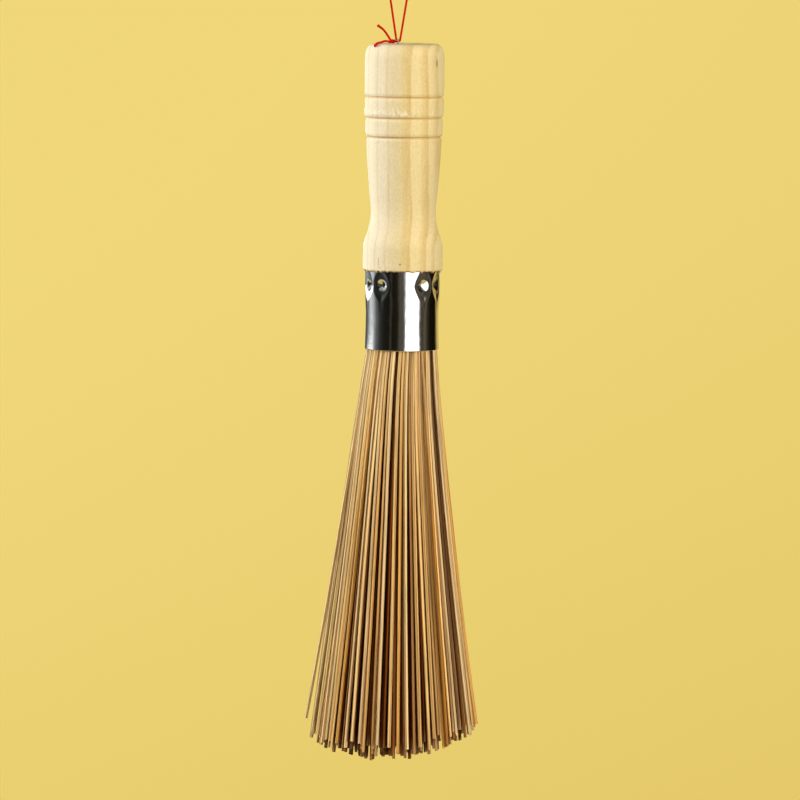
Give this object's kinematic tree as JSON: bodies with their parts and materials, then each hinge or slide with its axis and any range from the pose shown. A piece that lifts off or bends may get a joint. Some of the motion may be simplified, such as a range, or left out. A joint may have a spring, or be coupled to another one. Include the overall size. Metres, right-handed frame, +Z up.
{
  "type": "wok brush",
  "caption": "Bamboo splint wok brush with a turned wooden handle, a crimped steel ferrule and a thread loop to hang it by.",
  "frame": {"origin": "middle of the hook that the thread loop hangs on", "axes": "+Z up along the brush, which hangs below the origin; -Y is the front; the loop lies in the XZ plane"},
  "size_m": [0.0703, 0.0704, 0.3344],
  "materials": {
    "pine": "turned pale pine, oiled satin",
    "ferrule_steel": "bright plated sheet",
    "staple_wire": "drawn wire",
    "red_thread": "twisted red thread",
    "bamboo": "split bamboo, dry"
  },
  "bodies": {
    "thread": {"hanging_loop": "red_thread"},
    "brush": {"handle": "pine", "ferrule": "ferrule_steel", "thread_staple": "staple_wire", "thread_knot": "red_thread", "thread_tail_upper": "red_thread", "thread_tail_lower": "red_thread", "splint_ring_01": "bamboo", "splint_ring_02": "bamboo", "splint_ring_03": "bamboo", "splint_ring_04": "bamboo", "splint_ring_05": "bamboo", "splint_ring_06": "bamboo", "splint_ring_07": "bamboo", "splint_ring_08": "bamboo", "splint_ring_09": "bamboo", "splint_ring_10": "bamboo"}
  },
  "joints": [
    {"name": "swing", "type": "hinge", "parent": "thread", "child": "brush", "pos_m": [0, 0, -0.02805], "axis": [1, 0, 0], "range_deg": [-80, 80]}
  ]
}
